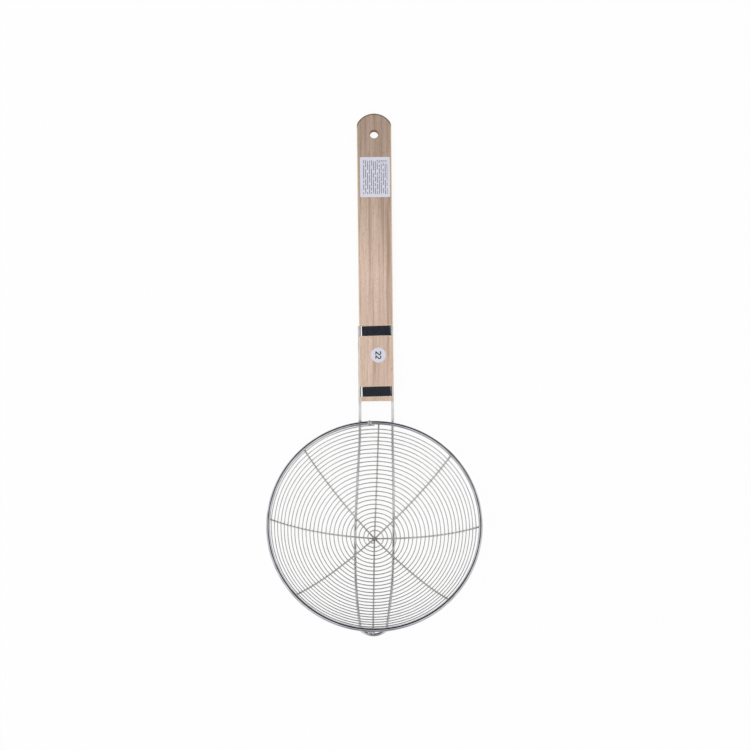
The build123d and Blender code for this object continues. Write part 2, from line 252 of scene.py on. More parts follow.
def feed(tree, node, links):
    # Each input, by name or number, gets a value, a hex colour, another node's output, or a
    # node's first output that is in use. A range is two values and what they turn into, 0 and
    # 1 when that is left out. A noise mostly lies between 0.3 and 0.7.
    links = dict(links)
    links.update(zip(("From Min", "From Max", "To Min", "To Max"), links.pop("range", ())))
    for key, value in links.items():
        socket = node.inputs[key] if isinstance(key, int) else next(
            entry for entry in node.inputs
            if entry.enabled and key in (entry.name, entry.identifier))
        if isinstance(value, bpy.types.Node):
            value = next(output for output in value.outputs if output.enabled)
        if isinstance(value, bpy.types.NodeSocket):
            tree.links.new(value, socket)
        else:
            socket.default_value = linear(value) if isinstance(value, str) else value


def streaked(tree, place, sizes, detail, roughness, distortion=0.0):
    # soft noise drawn out to these sizes in mm along the three axes
    scale = tuple(1 / (size * millimetre) for size in sizes)
    stretched = put(tree, "Mapping", links={"Vector": place, "Scale": scale})
    return put(tree, "TexNoise", links={"Vector": stretched, "Scale": 1.0, "Detail": detail,
                                        "Roughness": roughness, "Distortion": distortion})


def boardPlace(tree, place):
    # the board's own frame, the opposite of fromBoard: moved back, then turned back
    turn = tuple(math.radians(angle) for angle in (handle["droop"], 0.0, handle["turn"]))
    front = tuple(value * millimetre for value in handle["front"])
    return put(tree, "Mapping", {"vector_type": "TEXTURE"},
               {"Vector": place.outputs["Object"], "Location": front, "Rotation": turn})


def emptyTree(owner):
    # the node tree of a material or a world, emptied
    owner.use_nodes = True
    owner.node_tree.nodes.clear()
    return owner.node_tree


def newMaterial(name, values):
    # A material with one principled shader, whose plain values are set on its own sockets
    material = bpy.data.materials.new(name)
    tree = emptyTree(material)
    shader = put(tree, "BsdfPrincipled", links=values)
    put(tree, "OutputMaterial", links={"Surface": shader})
    return material, tree, shader


# Steel
drawnWire = {                # roughness where smooth and rough, mm across a drawing line
    "spiral": {"colour": "#F0F0EF", "dull": "#DAD9D7", "roughness": (0.16, 0.30), "line": 0.10},
    "rib": {"colour": "#DEDEDD", "dull": "#C2C1BE", "roughness": (0.20, 0.36), "line": 0.12},
    "frame": {"colour": "#DCDCDC", "dull": "#BDBCBA", "roughness": (0.14, 0.26), "line": 0.16},
    "rim": {"colour": "#D0D0D5", "dull": "#B4B4BA", "roughness": (0.07, 0.15), "line": 0.20},
    "lineLength": 30.0,      # mm that a drawing line runs
    "patch": 14.0,           # mm across the duller patches
    "tint": "#8F8678",       # straw brown beside a weld
    "weldStops": ((0.36, "#A9A8A6"), (0.52, "#CFCFCE"), (0.66, "#EDEDED")),
}


def drawnSteel(name, look):
    # Stainless wire, drawn and polished: fine lines along the wire, duller patches, and a
    # straw tint and rougher skin where a weld has heated it
    material, tree, shader = newMaterial(name, {"Metallic": 1.0})
    place = put(tree, "Attribute", {"attribute_name": "wirePlace"}).outputs["Vector"]
    lineSizes = (drawnWire["lineLength"], look["line"], look["line"])
    fine = streaked(tree, place, lineSizes, 3.0, 0.6)
    patches = put(tree, "TexNoise", links={"Vector": place,
                                           "Scale": 1 / (drawnWire["patch"] * millimetre),
                                           "Detail": 4.0, "Roughness": 0.55})
    patchShade = put(tree, "ValToRGB", {"stops": ((0.38, 0.0), (0.68, 1.0))}, {"Fac": patches})
    skin = put(tree, "Mix", ofColours,
               {"Factor": patchShade, "A": look["colour"], "B": look["dull"]})
    lineShade = put(tree, "MapRange", links={"Value": fine, "range": (0.3, 0.7, 0.86, 1.05)})
    lined = put(tree, "Mix", asShade, {"Factor": 1.0, "A": skin, "B": lineShade})
    warmth = put(tree, "Attribute", {"attribute_name": "weldHeat"})
    uneven = put(tree, "MapRange", links={"Value": patches, "range": (0.3, 0.7, 0.45, 1.0)})
    heat = put(tree, "Math", {"operation": "MULTIPLY", "use_clamp": True},
               {0: warmth.outputs["Fac"], 1: uneven})
    tinted = put(tree, "Mix", ofColours, {"Factor": heat, "A": lined, "B": drawnWire["tint"]})
    smooth, rough = look["roughness"]
    gloss = put(tree, "MapRange", links={"Value": fine, "range": (0.3, 0.7, smooth, rough)})
    gloss = put(tree, "Math", {"operation": "MULTIPLY_ADD"}, {0: heat, 1: 0.2, 2: gloss})
    dents = put(tree, "Bump", links={"Strength": 0.25, "Distance": 0.02 * millimetre,
                                     "Height": fine})
    feed(tree, shader, {"Base Color": tinted, "Roughness": gloss, "Normal": dents})
    return material


def weldBead(name):
    # A bead of weld metal, brushed after welding: lumpy skin, darker in its hollows
    material, tree, shader = newMaterial(name, {"Metallic": 1.0})
    place = put(tree, "TexCoord").outputs["Object"]
    lumps = put(tree, "TexNoise", links={"Vector": place, "Scale": 1 / (0.9 * millimetre),
                                         "Detail": 4.0, "Roughness": 0.6})
    grit = put(tree, "TexNoise", links={"Vector": place, "Scale": 1 / (0.18 * millimetre),
                                        "Detail": 2.0})
    shade = put(tree, "ValToRGB", {"stops": drawnWire["weldStops"]}, {"Fac": lumps})
    gloss = put(tree, "MapRange", links={"Value": grit, "range": (0.3, 0.7, 0.24, 0.46)})
    skin = put(tree, "Bump", links={"Strength": 0.6, "Distance": 0.12 * millimetre,
                                    "Height": lumps})
    feed(tree, shader, {"Base Color": shade, "Roughness": gloss, "Normal": skin})
    return material


spiralSteel = drawnSteel("thinDrawnStainless", drawnWire["spiral"])
ribSteel = drawnSteel("ribDrawnStainless", drawnWire["rib"])
frameSteel = drawnSteel("thickDrawnStainless", drawnWire["frame"])
rimSteel = drawnSteel("polishedStainlessRim", drawnWire["rim"])
beadSteel = weldBead("brushedWeldMetal")
print("steel materials made")


# Spiral wire
spiral = {
    "wire": 1.2,
    "turns": 25.5,
    "start": 6.0,            # mm from the centre to its inner end
    "end": 122.5817,         # mm along the wall to its outer end
    "shift": 2.4,            # how far its centre slides towards the far side, at its start
    "step": 3.0,             # mm between rings of the tube
    "sides": 12,
    "waver": 0.13,           # mm that the hand laid wire leaves its line
    "waverLengths": (38.0, 61.0, 97.0),
    "seed": 4,
}


def spiralPlace(turn):
    # out from the centre by an equal pitch each turn, clockwise, its centre sliding as it grows
    pitch = (spiral["end"] - spiral["start"]) / spiral["turns"]
    distance = spiral["start"] + pitch * turn
    angle = np.radians(-90 - 360 * turn)
    slide = spiral["shift"] * (1 - distance / spiral["end"])
    run = 2 * math.pi * (spiral["start"] * turn + pitch * turn ** 2 / 2)
    distance = distance + spiral["waver"] * waver(run, spiral["waverLengths"], spiral["seed"])
    return distance * np.cos(angle), distance * np.sin(angle) - slide


def spiralTurns():
    # turns at equal steps along the wire: its length grows with the square of the turns
    pitch = (spiral["end"] - spiral["start"]) / spiral["turns"]
    total = 2 * math.pi * (spiral["start"] * spiral["turns"] + pitch * spiral["turns"] ** 2 / 2)
    run = np.linspace(0, total, int(total / spiral["step"]) + 1)
    start = spiral["start"]
    return (np.sqrt(start ** 2 + run * pitch / math.pi) - start) / pitch


# Ribs
ribs = {
    "wire": 1.8,
    "halves": {              # the angles of each rib's two halves, and its level in the stack
        "rib_diagonal_left": (132.4, -45.9, 0),
        "rib_crosswise": (176.8, -1.1, 1),
        "rib_diagonal_right": (42.8, -137.5, 2),
        "rib_lengthwise": (87.6, -90.7, 3),
    },
    "out": 1.6,              # its centre line under the spiral's
    "stack": 1.008,          # how much deeper each next rib lies where they cross
    "joggle": 11.0,          # mm from the crossing where it starts to dip
    "reach": 123.6817,       # mm along the wall to its end at the rim
    "step": 1.0,
    "sides": 12,
    "heatReach": 5.0,        # mm that a weld tints it
    "crossHeat": 0.7,        # heat where the ribs cross, as a share of that at their ends
}

ribWays = [way for halves in ribs["halves"].values() for way in halves[:2]]


def ribPlace(distance, direction):
    # this far from the ribs' crossing, which lies off the deepest point by the shift
    angle = math.radians(direction)
    return distance * math.cos(angle), distance * math.sin(angle) - spiral["shift"]


def ribLength(direction):
    # from the crossing to where the rib meets the rim: a line from a point inside a circle
    back = spiral["shift"] * math.sin(math.radians(direction))
    return back + math.sqrt(back ** 2 + ribs["reach"] ** 2 - spiral["shift"] ** 2)


def ribPath(oneWay, otherWay, level):
    # two half arcs on the wall, dipping by a half cosine to their level at the crossing
    first, last = ribLength(oneWay), ribLength(otherWay)
    count = int((first + last) / ribs["step"]) + 1
    distance = np.linspace(-first, last, count)
    near = np.clip(np.abs(distance) / ribs["joggle"], 0, 1)
    dip = level * ribs["stack"] * (1 + np.cos(math.pi * near)) / 2
    acrossFirst, alongFirst = ribPlace(-distance, oneWay)
    acrossLast, alongLast = ribPlace(distance, otherWay)
    across = np.where(distance < 0, acrossFirst, acrossLast)
    along = np.where(distance < 0, alongFirst, alongLast)
    reach = ribs["heatReach"]
    heat = nearWeld(first - np.abs(np.minimum(distance, 0)), reach) * (distance < 0)
    heat += nearWeld(last - np.maximum(distance, 0), reach) * (distance >= 0)
    heat += ribs["crossHeat"] * nearWeld(distance, reach)
    return onWall(across, along, ribs["out"] + dip), heat


for ribName, (oneWay, otherWay, level) in ribs["halves"].items():
    path, heat = ribPath(oneWay, otherWay, level)
    wirePiece(ribName + "_wire", path, ribs, ribSteel, ribName, heat)
print("ribs made")


# Crossings of the spiral and the ribs, each resistance welded
spotWelds = {
    "out": 0.86,             # mm under the spiral's centre line
    "size": (0.95, 0.80, 0.55),   # half sizes along the rib, the spiral and the wall's depth
    "rings": 5,
    "sides": 8,
    "spread": (0.85, 1.15),  # least and most of each one's size
    "seed": 8,
    "least": 1.0,            # mm from the ribs' crossing, none nearer
    "samples": 720,          # of the spiral, in each turn, to find them
    "heat": 0.4,
    "heatReach": 2.2,
}


def crossings():
    # where the spiral changes sides of each half rib's line: turns and directions there
    turn = np.linspace(0, spiral["turns"], int(spiral["turns"] * spotWelds["samples"]))
    across, along = spiralPlace(turn)
    found = []
    for way in ribWays:
        angle = math.radians(way)
        x, y = across, along + spiral["shift"]
        ahead = x * math.cos(angle) + y * math.sin(angle)
        beside = y * math.cos(angle) - x * math.sin(angle)
        crosses = (beside[:-1] * beside[1:] <= 0) & (ahead[:-1] > spotWelds["least"])
        change = np.nonzero(crosses)[0]
        share = beside[change] / (beside[change] - beside[change + 1])
        place = turn[change] + share * (turn[change + 1] - turn[change])
        found.append(np.stack([place, np.full(len(place), way)], axis=1))
    return np.concatenate(found)


met = crossings()
meetTurn, meetWay = met[:, 0], np.radians(met[:, 1])
meetAcross, meetAlong = spiralPlace(meetTurn)


def ballRings(count, sides):
    # circles of a unit ball from pole to pole, without the poles themselves
    tilt = np.linspace(0, math.pi, count + 2)[1:-1]
    turn = np.linspace(0, 2 * math.pi, sides, endpoint=False)
    return np.stack(np.broadcast_arrays(np.sin(tilt)[:, None] * np.cos(turn),
                                        np.sin(tilt)[:, None] * np.sin(turn),
                                        np.cos(tilt)[:, None] * np.ones(sides)), axis=-1)


def spotRings():
    # one small flattened ball at each crossing, turned to its rib
    ball = ballRings(spotWelds["rings"], spotWelds["sides"])
    centre = onWall(meetAcross, meetAlong, np.full(len(meetTurn), spotWelds["out"]))
    normal = unit(centre - ballCentre)
    step = 0.1
    alongRib = unit(onWall(meetAcross + step * np.cos(meetWay), meetAlong + step * np.sin(meetWay),
                           np.full(len(meetTurn), spotWelds["out"])) - centre)
    alongWire = np.cross(normal, alongRib)
    rng = np.random.default_rng(spotWelds["seed"])
    scale = rng.uniform(*spotWelds["spread"], (len(meetTurn), 1))
    axes = [axis * size * scale
            for axis, size in zip((alongRib, alongWire, normal), spotWelds["size"])]
    return centre[:, None, None, :] + sum(ball[None, :, :, i, None] * axes[i][:, None, None, :]
                                          for i in range(3))


ringPiece("spot_welds", spotRings(), beadSteel)
print("spot welds made:", len(meetTurn))

turns = spiralTurns()
across, along = spiralPlace(turns)
path = onWall(across, along, np.zeros(len(turns)))
order = np.argsort(meetTurn)
run = np.interp(meetTurn[order], turns, pathLength(path))
nearest = np.abs(pathLength(path)[:, None] - run[None, :]).min(axis=1)
heat = spotWelds["heat"] * nearWeld(nearest, spotWelds["heatReach"])
wirePiece("spiral_wound_wire", path, spiral, spiralSteel, "spiral_wire", heat)
print("spiral made:", len(path), "rings")


# Rim ring
rim = {
    "wire": 4.0,
    "steps": 420,
    "sides": 28,
    "weldAcross": -5.1,      # x of the butt weld, on the handle's side
    "weldReach": 9.0,        # mm that the weld tints it
    "weldHeat": 0.25, "ribHeat": 0.35,
}


def rimPath(angle):
    # a circle round the bowl's axis
    return fromBowl(np.stack([bowl["rimRadius"] * np.cos(angle), bowl["rimRadius"] * np.sin(angle),
                              np.full(len(angle), bowl["rimHeight"])], axis=-1))


rimAngle = np.linspace(0, 2 * math.pi, rim["steps"], endpoint=False)
weldAngle = math.acos(rim["weldAcross"] / bowl["rimRadius"])
fromWeld = bowl["rimRadius"] * (rimAngle - weldAngle)
heat = rim["weldHeat"] * nearWeld(fromWeld, rim["weldReach"])
for way in ribWays:
    gap = np.angle(np.exp(1j * (rimAngle - math.radians(way)))) * bowl["rimRadius"]
    heat += rim["ribHeat"] * nearWeld(gap, ribs["heatReach"])
wirePiece("rim_round_wire", rimPath(rimAngle), rim, rimSteel, "rim_ring", heat,
          closed=True)
print("rim made")


# Hairpin frame
hairpin = {
    "wire": 3.0,
    "step": 1.2,
    "sides": 20,
    "noseHeat": 0.35, "noseReach": 7.0,
    # places and headings of the left rail from its end in the handle to the nose, then
    # the right rail's the same way
    "left": (
        ((-16.262, 39.193, 13.845), (0.0101, -0.9990, 0.0433)),
        ((-15.256, -60.112, 18.149), (0.0102, -0.9990, 0.0433)),
        ((-15.450, -67.321, 17.489), (-0.0041, -0.8791, -0.4765)),
        ((-18.201, -125.626, 1.607), (-0.0426, -0.9983, -0.0400)),
        ((-20.500, -185.630, 13.032), (-0.0044, -0.9162, 0.4006)),
        ((-19.025, -231.327, 45.479), (0.0579, -0.6791, 0.7317)),
        ((-16.500, -250.863, 72.502), (0.0919, -0.4805, 0.8722)),
        ((-14.400, -259.404, 91.244), (0.1343, -0.3252, 0.9361)),
        ((-11.980, -263.368, 105.861), (0.7121, -0.3081, 0.6309)),
        ((-0.800, -266.463, 108.312), (1.0, 0.0, 0.0)),
    ),
    "right": (
        ((18.436, 39.544, 13.830), (0.0102, -0.9990, 0.0433)),
        ((19.446, -60.112, 18.149), (0.0101, -0.9990, 0.0433)),
        ((19.250, -67.553, 17.918), (0.0017, -0.8791, -0.4766)),
        ((20.405, -125.641, 1.923), (0.0107, -0.9990, -0.0442)),
        ((20.500, -185.630, 13.032), (-0.0209, -0.9175, 0.3970)),
        ((18.225, -231.409, 45.404), (-0.0782, -0.6799, 0.7291)),
        ((14.900, -251.027, 72.414), (-0.1009, -0.4799, 0.8715)),
        ((12.800, -259.556, 91.190), (-0.1335, -0.3239, 0.9367)),
        ((10.380, -263.521, 105.928), (-0.7189, -0.3000, 0.6271)),
        ((-0.800, -266.463, 108.312), (-1.0, 0.0, 0.0)),
    ),
}


def hermite(start, startHeading, end, endHeading, step):
    # a cubic through both places along both headings, each pulled by the chord's length
    chord = np.linalg.norm(end - start)
    t = np.linspace(0, 1, max(int(chord / step), 6), endpoint=False)[:, None]
    return ((2 * t ** 3 - 3 * t ** 2 + 1) * start + (t ** 3 - 2 * t ** 2 + t) * startHeading * chord
            + (3 * t ** 2 - 2 * t ** 3) * end + (t ** 3 - t ** 2) * endHeading * chord)


def hairpinPath():
    # down the left rail, round the nose and back up the right rail
    left = [(np.array(place), np.array(heading)) for place, heading in hairpin["left"]]
    right = [(np.array(place), -np.array(heading)) for place, heading in hairpin["right"]]
    stations = left + right[-2::-1]
    runs = [hermite(*here, *there, hairpin["step"]) for here, there in zip(stations, stations[1:])]
    return np.concatenate(runs + [stations[-1][0][None]])


path = hairpinPath()
toNose = np.linalg.norm(path - np.array(hairpin["left"][-1][0]), axis=1)
heat = hairpin["noseHeat"] * nearWeld(toNose, hairpin["noseReach"])
wirePiece("hairpin_wire", path, hairpin, frameSteel, "frame_wire", heat)
print("hairpin made:", len(path), "rings")


# Weld beads
beads = {
    "rings": 22,
    "sides": 28,
    "lumps": 0.07,           # share of a bead's radius
    "waves": 7,              # sines in the lumps
    "waveRange": (2.0, 7.0),   # least and most radians that a sine turns for each unit
    "rib": (1.5, 20),        # radius in mm, and seed
    "rail": (2.3, 40),
    "nose": (1.85, 60),
    "railPlaces": ((-15.396, -63.066, 20.718), (19.270, -64.083, 20.982)),
    "nosePlaces": ((-4.9, -263.927, 108.733), (-1.0, -263.976, 108.754)),
    "butt": {"radius": 2.55, "half": 2.1, "rings": 25, "seed": 90,
             "sunk": 0.15,   # mm that its ends lie in the wire
             "over": 0.1,    # mm more at its fullest
             "swell": 0.6},  # power of its outline, fuller when smaller
}


def lumpy(ball, seed):
    # sines across the ball in random directions, added
    rng = np.random.default_rng(seed)
    waves = beads["waves"]
    ways = unit(rng.normal(size=(waves, 3))) * rng.uniform(*beads["waveRange"], (waves, 1))
    phases = rng.uniform(0, 2 * math.pi, waves)
    return np.sin(ball @ ways.T + phases).sum(axis=-1) / math.sqrt(waves)


def beadRings(centres, radius, seed):
    # a ball at each centre, its radius changed by its own lumps
    ball = ballRings(beads["rings"], beads["sides"])
    shells = []
    for number, centre in enumerate(np.asarray(centres, float)):
        reach = radius * (1 + beads["lumps"] * lumpy(ball, seed + number))
        shells.append(centre + ball * reach[..., None])
    return np.stack(shells)


ribEnds = [onWall(*np.array(ribPlace(ribLength(way), way)), ribs["out"]) for way in ribWays]
for kind, centres, beadName, node in (
        ("rib", ribEnds, "rib_end_beads", "rib_end_welds"),
        ("rail", beads["railPlaces"], "rail_beads", "rail_welds"),
        ("nose", beads["nosePlaces"], "nose_beads", "nose_welds")):
    ringPiece(beadName, beadRings(centres, *beads[kind]), beadSteel, (node,))


def buttRings():
    # a collar round the rim wire: fullest at the joint, running out on both sides, lumpy
    butt = beads["butt"]
    run = np.linspace(-butt["half"], butt["half"], butt["rings"])
    path = rimPath(weldAngle + run / bowl["rimRadius"])
    swell = (1 - (run / butt["half"]) ** 2) ** butt["swell"]
    ends = rim["wire"] / 2 - butt["sunk"]
    radius = ends + (butt["radius"] - rim["wire"] / 2 + butt["over"]) * swell
    rings, _ = tubeRings(path, radius, beads["sides"])
    away = rings - path[:, None, :]
    bumps = (lumpy(rings - path[butt["rings"] // 2], butt["seed"]) * beads["lumps"]
             * swell[:, None])
    return path[:, None, :] + away * (1 + bumps)[..., None]


ringPiece("rim_butt_bead", buttRings(), beadSteel, ("rim_butt_weld",))
print("weld beads made")


# Handle board
beech = {
    "light": "#DBC2B2", "middle": "#CEB4A2", "dark": "#AF9380",
    # then: painted highlight on rounded edges, darker tip end, painted shade in the bore
    "tipTone": "#D3D1CE", "rim": "#F0D9B8", "tipEndDark": "#4E3D2E", "boreShade": "#8F5F3C",
    "streak": (3.0, 110.0),      # mm across and along of the grain's streaks
    "band": (9.0, 180.0),        # of the broad lighter and darker bands
    "fibre": (0.22, 14.0),
    "fleck": (0.45, 3.6),        # the short dark rays of beech
    "tipRange": (120.0, 290.0),  # mm from the front over which the tip's tone comes in
    # upward slopes of a face where each part of the painted edge highlight starts and is full,
    # then its share at both
    "edgeHighlightSlopes": (0.98, 0.75, 0.0, 0.85),
    "sideHighlightSlopes": (0.5, 0.1, 1.0, 0.45),
    "endDark": (0.15, 0.6, 0.0, 0.9),   # the same by how far the face looks to the tip
    "endFrom": 250.0,            # mm from the front, the darker tip end only past it
    "archCentre": (0.0, 288.15),   # mm from the board's front, of the tip's middle arc
    "archDark": (18.7, 20.0),   # mm from there: the darkening round the tip's edge starts and is full
    "boreShadeReach": (0.7, 0.1),         # mm outside the hole where its painted shade starts and is full
    "darkShare": 0.85,               # share of the wood's colour that both of these hide
}


def beechWood(name):
    # Beech, sawn, sanded and oiled: straight streaks along the board, fine fibre and short
    # dark flecks, painted highlight on rounded edges, darker tip end, painted shade in the bore
    material, tree, shader = newMaterial(name, {"Specular IOR Level": 0.35})
    place = put(tree, "TexCoord")
    board = boardPlace(tree, place)
    patterns = {}
    for pattern, detail in (("streak", 4.0), ("band", 2.0), ("fibre", 3.0), ("fleck", 1.0)):
        wide, long = beech[pattern]
        patterns[pattern] = streaked(tree, board, (wide, long, wide * 2), detail, 0.6, 0.7)
    tones = ((0.30, beech["dark"]), (0.47, beech["middle"]), (0.66, beech["light"]))
    streaks = put(tree, "ValToRGB", {"stops": tones}, {"Fac": patterns["streak"]})
    bandShade = put(tree, "MapRange", links={"Value": patterns["band"],
                                             "range": (0.3, 0.7, 0.88, 1.08)})
    banded = put(tree, "Mix", asShade, {"Factor": 1.0, "A": streaks, "B": bandShade})
    fibreShade = put(tree, "MapRange", links={"Value": patterns["fibre"],
                                              "range": (0.3, 0.7, 0.88, 1.08)})
    fibred = put(tree, "Mix", asShade, {"Factor": 1.0, "A": banded, "B": fibreShade})
    fleckMask = put(tree, "ValToRGB", {"stops": ((0.57, 0.0), (0.70, 0.75))},
                    {"Fac": patterns["fleck"]})
    flecked = put(tree, "Mix", ofColours, {"Factor": fleckMask, "A": fibred, "B": beech["dark"]})
    axes = put(tree, "SeparateXYZ", links={"Vector": board})
    tipRange = tuple(value * millimetre for value in beech["tipRange"])
    tipShare = put(tree, "MapRange", softly, {"Value": axes.outputs["Y"], "range": tipRange})
    toned = put(tree, "Mix", asShade, {"Factor": tipShare, "A": flecked, "B": beech["tipTone"]})
    facing = put(tree, "SeparateXYZ", links={"Vector": place.outputs["Normal"]})
    upright = put(tree, "Math", {"operation": "ABSOLUTE"}, {0: facing.outputs["Z"]})
    # painted highlight: faces that slope off the flat, where the edges are rounded, turn pale peach
    edgeHighlightShare = put(tree, "MapRange", softly, {"Value": upright, "range": beech["edgeHighlightSlopes"]})
    sideHighlightShare = put(tree, "MapRange", softly, {"Value": upright, "range": beech["sideHighlightSlopes"]})
    edgeHighlightMask = put(tree, "Math", times, {0: edgeHighlightShare, 1: sideHighlightShare})
    edgeHighlighted = put(tree, "Mix", ofColours, {"Factor": edgeHighlightMask, "A": toned, "B": beech["rim"]})
    # darker at the tip's end: faces looking to the tip past the necks, and a band round its edge
    endShare = put(tree, "MapRange", softly,
                   {"Value": facing.outputs["Y"], "range": beech["endDark"]})
    pastNecks = put(tree, "Math", {"operation": "GREATER_THAN"},
                    {0: axes.outputs["Y"], 1: beech["endFrom"] * millimetre})
    endMask = put(tree, "Math", times, {0: endShare, 1: pastNecks})
    flat = put(tree, "CombineXYZ", links={"X": axes.outputs["X"], "Y": axes.outputs["Y"]})
    archCentre = tuple(value * millimetre for value in beech["archCentre"]) + (0.0,)
    fromArch = put(tree, "VectorMath", {"operation": "DISTANCE"}, {0: flat, 1: archCentre})
    archDarkRange = tuple(value * millimetre for value in beech["archDark"]) + (0.0, beech["darkShare"])
    archShare = put(tree, "MapRange", softly,
                    {"Value": fromArch.outputs["Value"], "range": archDarkRange})
    pastCentre = put(tree, "Math", {"operation": "GREATER_THAN"},
                     {0: axes.outputs["Y"], 1: archCentre[1]})
    archMask = put(tree, "Math", times, {0: archShare, 1: pastCentre})
    anyEnd = put(tree, "Math", {"operation": "MAXIMUM"}, {0: endMask, 1: archMask})
    ended = put(tree, "Mix", ofColours, {"Factor": anyEnd, "A": edgeHighlighted, "B": beech["tipEndDark"]})
    # painted shade: the bore's wall and a thin ring round its mouth turn warm brown
    holeCentre = (0.0, (handle["length"] - handle["holeFromTip"]) * millimetre, 0.0)
    fromHole = put(tree, "VectorMath", {"operation": "DISTANCE"}, {0: flat, 1: holeCentre})
    boreShadeEdges = tuple((handle["holeRadius"] + gap) * millimetre for gap in beech["boreShadeReach"])
    boreShadeRange = boreShadeEdges + (0.0, beech["darkShare"])
    boreShadeShare = put(tree, "MapRange", softly,
                    {"Value": fromHole.outputs["Value"], "range": boreShadeRange})
    boreShaded = put(tree, "Mix", ofColours, {"Factor": boreShadeShare, "A": ended, "B": beech["boreShade"]})
    gloss = put(tree, "MapRange", links={"Value": patterns["fibre"],
                                         "range": (0.3, 0.7, 0.62, 0.48)})
    height = put(tree, "Math", {"operation": "MULTIPLY_ADD"},
                 {0: fleckMask, 1: -0.6, 2: patterns["fibre"]})
    grain = put(tree, "Bump", links={"Strength": 0.35, "Distance": 0.08 * millimetre,
                                     "Height": height})
    feed(tree, shader, {"Base Color": boreShaded, "Roughness": gloss, "Normal": grain})
    return material


def dress(node, material):
    # the CAD node keeps its mesh and gets the finished material
    nodes[node].data.materials.clear()
    nodes[node].data.materials.append(material)


dress("handle_board", beechWood("sandedBeech"))
print("handle dressed")


# Neck bands
bands = {
    "centres": {"neck_band_lower": 10.2, "neck_band_upper": 74.85},   # mm from the board's front
    "turn": 1.1,                 # degrees that they sit askew on the neck
    "neck": (28.7, 6.0),
    "wall": 0.8,
    "length": 10.2,
    "corner": 0.5,               # radius inside the sleeve
    "edge": 0.32,                # radius of its rolled ends
    "wrinkle": 0.035,            # share of its wall
    "foldScale": (5.0, 0.45),    # how close the wrinkles lie, round it and for each mm along it
    "ridge": (0.06, 0.9, 0.5),   # share of the wall, mm from its end, and mm wide
    "inset": 0.1,                # mm from its end to the first ring on its inside
    "points": (30, 8, 17, 5),    # on a side, a corner, along the outside and round a rolled end
    "seed": 120,
    "colour": "#191D28", "worn": "#2A2C35", "deep": "#0E1119",
    "rub": (0.9, 7.0, 0.9),      # mm of the streaks in its skin, along the three axes
    "cloud": 6.0,                # mm across its paler patches
}


def roundedLoop(halfWide, halfHigh, radius, straight, curved):
    # points and outward ways round a rectangle with round corners, counter clockwise
    places, ways = [], []
    signs = np.array([(1, 1), (-1, 1), (-1, -1), (1, -1)])
    centres = signs * (halfWide - radius, halfHigh - radius)
    for quarter, centre in enumerate(centres):
        angle = math.pi / 2 * quarter + np.linspace(0, math.pi / 2, curved)
        way = np.stack([np.cos(angle), np.sin(angle)], axis=1)
        corner = centre + radius * way
        target = centres[(quarter + 1) % 4] + radius * way[-1]
        share = np.linspace(0, 1, straight + 2)[1:-1, None]
        places += [corner, corner[-1] + (target - corner[-1]) * share]
        ways += [way, np.repeat(way[-1:], straight, axis=0)]
    return np.concatenate(places), np.concatenate(ways)


def bandRings(centre, seed):
    # the wall's section, a thin bar with rolled ends, carried round the neck
    straight, curved, outside, rolled = bands["points"]
    wide, high = bands["neck"]
    place, way = roundedLoop(wide / 2, high / 2, bands["corner"], straight, curved)
    roll, half, wall = bands["edge"], bands["length"] / 2, bands["wall"]
    turn = np.linspace(0, math.pi / 2, rolled)
    outer = np.linspace(-(half - roll), half - roll, outside)
    inner = half - bands["inset"]
    run = np.concatenate([outer, half - roll + roll * np.sin(turn[1:]),
                          [inner, 0.0, -inner], -half + roll - roll * np.cos(turn[:-1])])
    lift = np.concatenate([np.full(outside, wall), wall - roll + roll * np.cos(turn[1:]),
                           [0.0, 0.0, 0.0], wall - roll + roll * np.sin(turn[:-1])])
    raised, fromEnd, breadth = bands["ridge"]
    ridge = 1 + raised * np.exp(-((np.abs(run) - half + fromEnd) / breadth) ** 2)
    way3, place3 = (np.stack([v[:, 0], np.zeros(len(v)), v[:, 1]], axis=1) for v in (way, place))
    around = np.linspace(0, 2 * math.pi, len(place), endpoint=False)[:, None]
    across, along = bands["foldScale"]
    folds = lumpy(np.stack(np.broadcast_arrays(
        np.cos(around) * across, np.sin(around) * across, run[None, :] * along), axis=-1), seed)
    lifts = (lift * ridge)[None, :] * (1 + bands["wrinkle"] * folds)
    points = place3[:, None, :] + way3[:, None, :] * lifts[..., None]
    points[..., 1] += run[None, :]
    angle = math.radians(bands["turn"])
    x, y = points[..., 0].copy(), points[..., 1].copy()
    points[..., 0] = x * math.cos(angle) - y * math.sin(angle)
    points[..., 1] = x * math.sin(angle) + y * math.cos(angle) + centre
    return fromBoard(points)


def shrunkPlastic(name):
    # Dark PVC sleeve, shrunk on: satin, finely ribbed by its wrinkles, paler where it is rubbed
    material, tree, shader = newMaterial(name, {"IOR": 1.53, "Specular IOR Level": 0.2})
    place = put(tree, "TexCoord").outputs["Object"]
    lines = streaked(tree, place, bands["rub"], 4.0, 0.65)
    cloud = put(tree, "TexNoise", links={"Vector": place,
                                         "Scale": 1 / (bands["cloud"] * millimetre),
                                         "Detail": 3.0})
    shade = put(tree, "ValToRGB", {"stops": ((0.32, bands["deep"]), (0.5, bands["colour"]),
                                             (0.72, bands["worn"]))}, {"Fac": lines})
    cloudShade = put(tree, "MapRange", links={"Value": cloud, "range": (0.3, 0.7, 0.8, 1.25)})
    mixed = put(tree, "Mix", asShade, {"Factor": 1.0, "A": shade, "B": cloudShade})
    gloss = put(tree, "MapRange", links={"Value": lines, "range": (0.3, 0.7, 0.34, 0.52)})
    skin = put(tree, "Bump", links={"Strength": 0.3, "Distance": 0.1 * millimetre,
                                    "Height": lines})
    feed(tree, shader, {"Base Color": mixed, "Roughness": gloss, "Normal": skin})
    return material


bandPlastic = shrunkPlastic("shrunkPvcSleeve")
for number, (bandName, centre) in enumerate(bands["centres"].items()):
    ringPiece(bandName.replace("neck_band", "sleeve"), bandRings(centre, bands["seed"] + number),
              bandPlastic, (bandName,), closed=True)
print("neck bands made")


